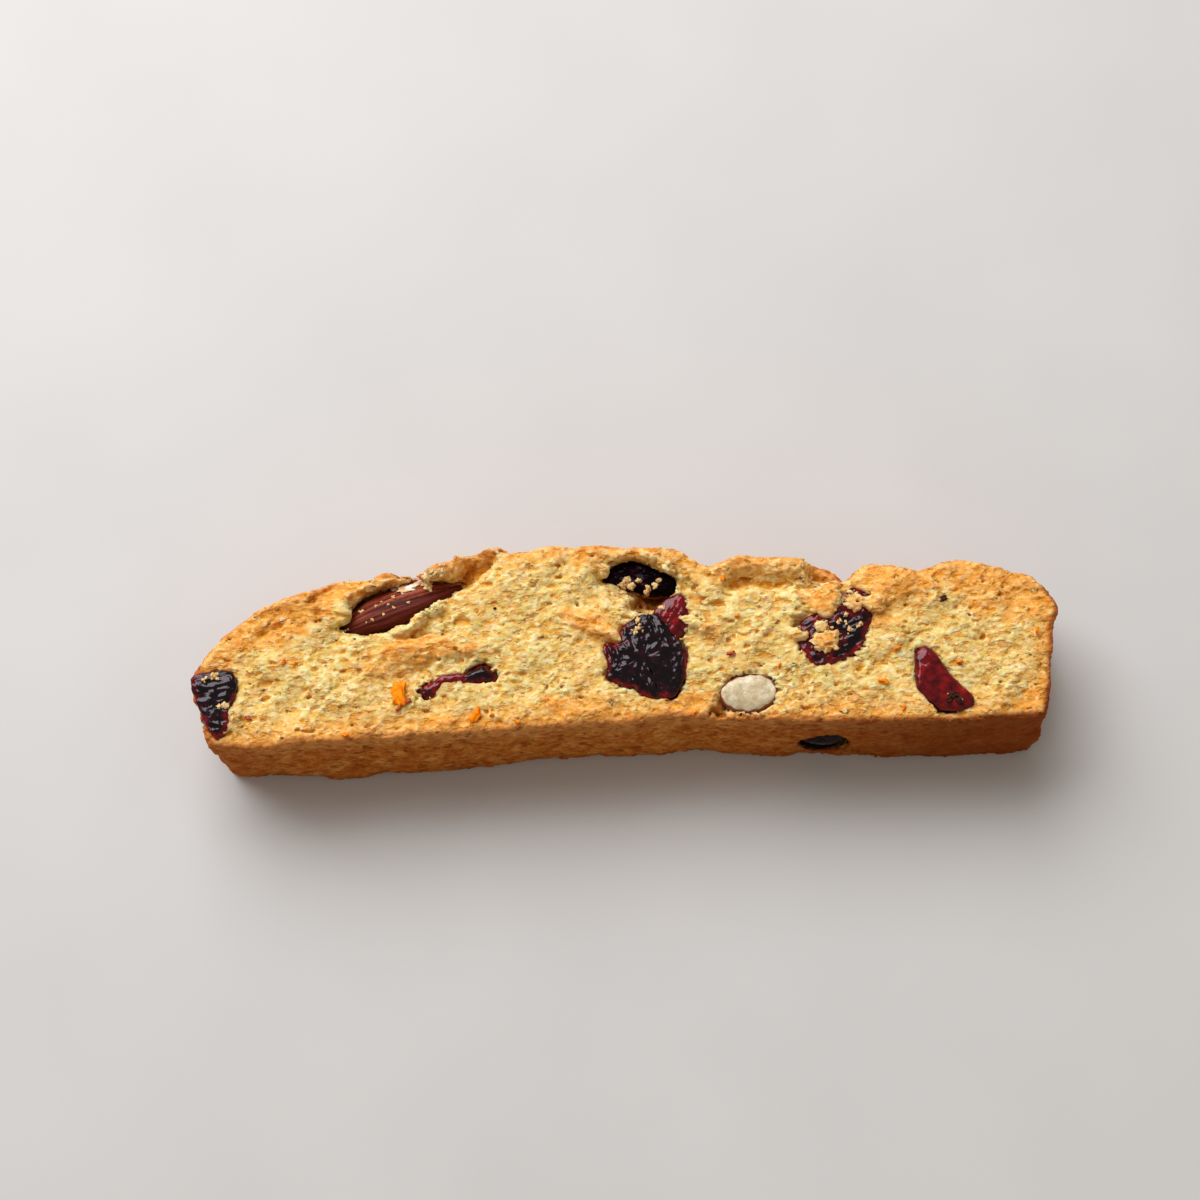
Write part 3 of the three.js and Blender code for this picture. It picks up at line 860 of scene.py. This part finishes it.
def wrinkled_berry(node, seed, dough_tree):
    """A dried berry with folded skin; rim is 1 where it meets the crumb."""
    piece = refined(node, node + "_fruit", BERRY_SPREAD)
    along, across, direction, height = FOLDS[node]
    c, s = math.cos(math.radians(direction)), math.sin(math.radians(direction))
    middle = beside(node)

    def wrinkle(co, _):
        x, y = (co[:2] - middle) / MM
        spot = Vector(((x * c + y * s) / along, (y * c - x * s) / across, co[2] / MM / along))
        spot += Vector((seed * 3.7, seed * 1.9, seed))
        fold = noise.ridged_multi_fractal(spot, 0.9, 2.1, 3, 1.0, 2.0)
        crease = noise.fractal(Vector(co) / (0.9 * MM), 0.8, 2.1, 3)
        return (0.75 * (fold - 1.2) + 0.3 * crease) * height * MM

    push(piece, wrinkle)
    places = vertex_array(piece.data)
    gaps = [dough_tree.find_nearest(Vector(co), RIM_REACH)[3] for co in places]
    paint(piece.data, "rim", [0 if gap is None else 1 - gap / RIM_REACH for gap in gaps])
    return piece


def almond(node):
    """The whole almond, furrowed lengthways, with a ridge along it; shade is painted dark in the
    furrows, on the ridge and on the lower side.
    """
    piece = refined(node, "almond_in_skin")
    low, high = (np.array(c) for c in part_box(node))
    centre = (low + high) / 2
    c, s = math.cos(ALMOND_DIRECTION), math.sin(ALMOND_DIRECTION)
    across = np.array([-s, c, 0])
    lengthways = np.array([c, s, 0])
    grooves = []
    shades = []

    def furrow(co, _):
        v = co - centre
        angle = math.atan2(v[2], v @ across)
        along = (v @ lengthways) / ALMOND_HALF
        depth = noise.fractal(Vector((angle * 4.6, along * 1.1, 3.0)), 0.8, 2.0, 3)
        ridge = math.exp(-(((angle - 1.5 - 0.15 * math.sin(3 * along)) / 0.12) ** 2))
        # painted shade: the furrows and the ridge are drawn darker
        grooves.append(0.6 + 0.6 * depth - 0.6 * ridge)
        # painted shade: the lower, front side is drawn darker
        shades.append(0.85 * min(max((angle - 1.35) / 0.4, 0), 1))
        return (depth * 0.22 - 0.3 * ridge) * MM

    push(piece, furrow)
    paint(piece.data, "groove", grooves)
    paint(piece.data, "shade", shades)
    return piece


def cut_almond(node):
    """The cut almond: a kernel face with a little relief, and skin round its side."""
    piece = refined(node, "almond_kernel_cut", KERNEL_SPREAD)
    normals = np.array([n.vector for n in piece.data.vertex_normals])
    paint(piece.data, "skin", np.clip((1 - normals[:, 2]) / 0.4, 0, 1))

    def waxy(co, normal):
        spot = Vector(co) / (2.2 * MM)
        return 0.16 * MM * noise.fractal(spot, 0.8, 2.0, 3) * max(normal[2], 0)

    push(piece, waxy)
    return piece


# ------------------------------------------------------------------- crumbs, zest, bits

# Where the bits lie: millimetres from the middle of the slice's box, length, turn in degrees.
ZEST = [
    (-37.0, -7.3, 4.3, 95), (-25, -11.6, 2.8, 65), (-22.4, -11.9, 0.8, 20),
    (-55.7, -1.7, 1.0, 70), (-53.8, -2.1, 0.9, 20), (-45.9, -13.9, 1.3, -10),
    (15.8, 9.9, 0.9, 30), (17.8, 3.4, 1.0, 30), (24.1, -5.4, 0.9, 70), (40.8, -8.7, 1.5, -20),
    (43.3, -3.2, 0.9, 20), (53.3, -5.7, 0.9, 10), (66.1, -1.2, 1.1, 80), (43.7, -13.1, 1.2, 75),
    (54.7, -11.1, 1.1, 40), (-18.5, -12.6, 0.8, 15), (10, -12.6, 0.8, 40),
]
RED_BITS = [
    (-35.7, -8.9, 1.2, 20), (-37.4, -10.1, 0.9, 50), (-36.7, -9.5, 0.7, 0),
    (16.6, -3.1, 1.3, 25), (-61.5, -10.5, 1.1, -30), (63.8, -14.0, 0.7, 0),
]
FLAKES = [
    (-36.6, 10.9, 2.6, 12), (-35.4, 10.2, 3.2, 25), (-33.3, 11.8, 2.4, 10),
    (-31.3, 12.0, 2.0, 30), (-55.9, 5.6, 1.0, 0),
]
DARK_BITS = [
    (51.5, 4.7, 1.3, 10), (-21.4, 6.0, 0.45, 0), (51.0, -12.2, 1.2, 60),
    (51.9, -11.5, 1.3, -20), (52.6, -12.4, 1.4, -60),
]


def on_surface(tree, x, y):
    """Where the surface is under a place in plan, and its normal there."""
    hit, normal = tree.ray_cast(Vector((x, y, 0.05)), Vector((0, 0, -1)))[:2]
    return (hit, normal) if hit is not None else (Vector((x, y, FACE)), Vector((0, 0, 1)))


def visible_tree(pieces):
    """One search tree over finished pieces."""
    points = []
    faces = []
    for piece in pieces:
        start = len(points)
        points += vertex_array(piece.data).tolist()
        faces += [[start + k for k in p.vertices] for p in piece.data.polygons]
    return BVHTree.FromPolygons(points, faces)


def scattered(name, grains, tree, sink=0.25):
    """Rough grains joined in one mesh. Each is (x, y, half sizes, turn) in metres and degrees."""
    ball = bmesh.new()
    bmesh.ops.create_icosphere(ball, subdivisions=3, radius=1)
    shape = np.array([v.co for v in ball.verts])
    ring = np.array([[v.index for v in f.verts] for f in ball.faces])
    ball.free()
    points = []
    faces = []
    for number, (x, y, half, turn) in enumerate(grains):
        hit, normal = on_surface(tree, x, y)
        frame_of = Vector((0, 0, 1)).rotation_difference(normal)
        c, s = math.cos(math.radians(turn)), math.sin(math.radians(turn))
        start = number * len(shape)
        for p in shape:
            spot = Vector(p) * 1.4 + Vector((number * 7.3, 0, number * 1.7))
            size = max(0.4, 1 + 0.9 * noise.fractal(spot, 0.9, 2.0, 3))
            u, v, w = p * size * half
            local = Vector((u * c - v * s, u * s + v * c, w + half[2] * (1 - 2 * sink)))
            points.append(hit + frame_of @ local)
        faces.append(ring + start)
    return new_object(name, points, np.concatenate(faces))


def sized(spots, wide, high, random):
    """Grains at listed spots of given length, as scattered() takes them."""
    grains = []
    for dx, dy, length, turn in spots:
        x, y = plan(dx, dy)
        half = np.array([length / 2, length * wide / 2, high]) * MM
        grains.append((x, y, half * random.uniform(0.85, 1.15, 3), turn))
    return grains


def plan(dx, dy):
    """A place over the slice, in millimetres from the middle of its box."""
    low, high = CAD_BOUNDS
    return (low[0] + high[0]) / 2 + dx * MM, (low[1] + high[1]) / 2 + dy * MM


# Where loose crumbs lie: node, offset from its middle, spread along and across, turn of
# the spread in degrees, number of crumbs, largest length.
CRUMB_SPOTS = [
    ("almond_whole", (-2.3, 1.2), (6, 2.1), 20, 22, 0.75),
    ("almond_whole", (6, 4.4), (1.6, 0.9), 20, 16, 1.4),
    ("cranberry_middle", (-0.8, 4.6), (1.5, 0.9), 30, 8, 0.9),
    ("cranberry_back", (-0.6, -1.4), (3, 0.9), 0, 11, 1.6),
    ("cranberry_left_end", (-0.9, 4.3), (1.3, 0.35), 10, 5, 1.2),
    ("cranberry_left_end", (1.6, -0.6), (0.5, 0.7), 0, 5, 1.1),
    ("cranberry_under_crumbs", (0.5, -0.5), (3.4, 2.5), 0, 16, 0.8),
    ("cranberry_flap", (-1.5, 1.9), (1.0, 0.3), 40, 5, 0.7),
    ("cranberry_right", (1.5, -3.6), (2, 0.5), -20, 3, 0.5),
]


def crumb_grains(random):
    """Loose crumbs around the listed spots, as scattered() takes them."""
    grains = []
    for node, offset, spread, turn, count, largest in CRUMB_SPOTS:
        at = beside(node, *offset)
        c, s = math.cos(math.radians(turn)), math.sin(math.radians(turn))
        for _ in range(count):
            u, v = np.clip(random.normal(size=2), -1.6, 1.6) * spread * MM * 0.8
            length = largest * random.uniform(0.35, 1) * MM
            half = length * np.array([0.5, random.uniform(0.3, 0.5), random.uniform(0.2, 0.35)])
            x = at[0] + u * c - v * s
            y = at[1] + u * s + v * c
            grains.append((x, y, half, random.uniform(0, 180)))
    return grains


def fleck_material(name, dark, light, scale):
    """A matte two-tone material for small bits; scale is in millimetres."""
    s = Shader(name)
    tone = s.noise(scale, 3, 0.6)
    s.set(
        Base_Color=s.ramp(tone, [(0.35, dark), (0.65, light)]),
        Roughness=0.7,
        Specular_IOR_Level=0.15,
        Normal=s.bump(s.noise(scale / 2, 2), 0.12, 0.8),
    )
    return s.material


# ------------------------------------------------------------------------------ scene


FLOOR_HALF = 1.5
FLOOR_DROP = 0.02 * MM
WINDOW = {"azimuth": 118, "elevation": 44, "distance": 1.2, "size": (1.2, 0.9), "power": 19.2}
WORLD_COLOUR = (1.0, 0.88, 0.74, 1)
WORLD_STRENGTH = 0.33


def floor():
    side = FLOOR_HALF
    points = [(-side, -side, 0), (side, -side, 0), (side, side, 0), (-side, side, 0)]
    board = new_object("floor", points, [(0, 1, 2, 3)], smooth=False)
    board.location.z = -FLOOR_DROP
    s = Shader("pale_floor")
    tone = s.ramp(s.noise(40, 2), [(0.3, (0.6, 0.6, 0.61)), (0.7, (0.63, 0.63, 0.64))])
    s.set(Base_Color=tone, Roughness=0.5)
    assign(board, s.material)


def area_light(name, towards, azimuth, elevation, distance, size, power):
    """A white rectangle of light, aimed at a point; the angles are in degrees."""
    light = bpy.data.lights.new(name, "AREA")
    light.shape = "RECTANGLE"
    light.size, light.size_y = size
    light.energy = power
    lamp = bpy.data.objects.new(name, light)
    bpy.context.scene.collection.objects.link(lamp)
    az, el = math.radians(azimuth), math.radians(elevation)
    direction = Vector((math.cos(el) * math.cos(az), math.cos(el) * math.sin(az), math.sin(el)))
    lamp.location = towards + direction * distance
    lamp.rotation_euler = direction.to_track_quat("Z", "Y").to_euler()


def lights():
    middle = Vector((0, 0, DOUGH_HIGH[2]))
    area_light("window", middle, **WINDOW)
    world = bpy.data.worlds.new("studio")
    world.use_nodes = True
    world.node_tree.nodes["Background"].inputs["Color"].default_value = WORLD_COLOUR
    world.node_tree.nodes["Background"].inputs["Strength"].default_value = WORLD_STRENGTH
    bpy.context.scene.world = world
    bpy.context.scene.view_settings.view_transform = "Standard"


ELEVATION = math.radians(75)
AZIMUTH = math.radians(-2.3)
DISTANCE = 0.42
SCALE = 0.1624 * MM  # metres to a pixel of a 1200-pixel frame, at the target
FRAME_PIXELS = 1200
TARGET_OFFSET = Vector((-4.3, 6.76, -1.0)) * MM  # from the middle of the box's top


def camera():
    low, high = CAD_BOUNDS
    target = Vector(((low[0] + high[0]) / 2, (low[1] + high[1]) / 2, high[2])) + TARGET_OFFSET
    data = bpy.data.cameras.new("camera")
    data.sensor_width = 36
    data.lens = data.sensor_width * (DISTANCE / SCALE) / FRAME_PIXELS
    eye = bpy.data.objects.new("camera", data)
    bpy.context.scene.collection.objects.link(eye)
    back = Vector((
        math.sin(AZIMUTH) * math.cos(ELEVATION),
        -math.cos(AZIMUTH) * math.cos(ELEVATION),
        math.sin(ELEVATION),
    ))
    eye.location = target + back * DISTANCE
    eye.rotation_euler = back.to_track_quat("Z", "Y").to_euler()
    bpy.context.scene.camera = eye


camera()
floor()
lights()

dough = make_dough()
assign(dough, dough_material())
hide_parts("dough")
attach(dough, "root")

dark = berry_material("cranberry_dark", 0.0)
red = berry_material("cranberry_red", 1.0)
# painted shade: a darker, duller copy of the berry look for the berries in the front hole and the
# back hollow
shaded = berry_material("cranberry_shaded", -0.6, gloss=0.06)
shown = [dough]
crumb_tree = visible_tree([dough])
for number, node in enumerate(sorted(BERRIES)):
    fruit = wrinkled_berry(node, number + 1, crumb_tree)
    is_red = node in ("cranberry_flap", "cranberry_right")
    looks = shaded if node in ("cranberry_front", "cranberry_back") else dark
    assign(fruit, red if is_red else looks)
    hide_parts(node)
    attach(fruit, "root")
    shown.append(fruit)

nut = almond("almond_whole")
assign(nut, almond_skin_material())
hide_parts("almond_whole")
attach(nut, "root")
shown.append(nut)

kernel = cut_almond("almond_cut")
assign(kernel, kernel_material())
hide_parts("almond_cut")
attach(kernel, "root")

tree = visible_tree(shown)
random = np.random.default_rng(SEED + 1)
crumb_looks = fleck_material("loose_crumb", srgb(210, 160, 94), srgb(240, 212, 158), 0.8)
flake_looks = fleck_material("pale_flake", srgb(224, 168, 104), srgb(252, 244, 232), 1.6)
zest_looks = fleck_material("orange_zest", srgb(252, 116, 0), srgb(255, 160, 8), 0.9)
red_looks = fleck_material("fruit_bit", srgb(166, 56, 36), srgb(206, 108, 78), 0.6)
dark_looks = fleck_material("dark_bit", srgb(34, 14, 10), srgb(84, 40, 26), 0.6)
for name, slot, looks, grains, sink in (
    ("loose_crumbs", "crumb", crumb_looks, crumb_grains(random), 0.25),
    ("almond_flakes", "crumb", flake_looks, sized(FLAKES, 0.5, 0.2, random), 0.2),
    ("zest_flecks", "crumb", zest_looks, sized(ZEST, 0.42, 0.42, random), 0.12),
    ("fruit_flecks", "cranberry_red", red_looks, sized(RED_BITS, 0.5, 0.3, random), 0.35),
    ("dark_flecks", "cranberry_dark", dark_looks, sized(DARK_BITS, 0.7, 0.3, random), 0.45),
):
    flecks = scattered(name, grains, tree, sink)
    assign(flecks, looks)
    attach(flecks, "root")
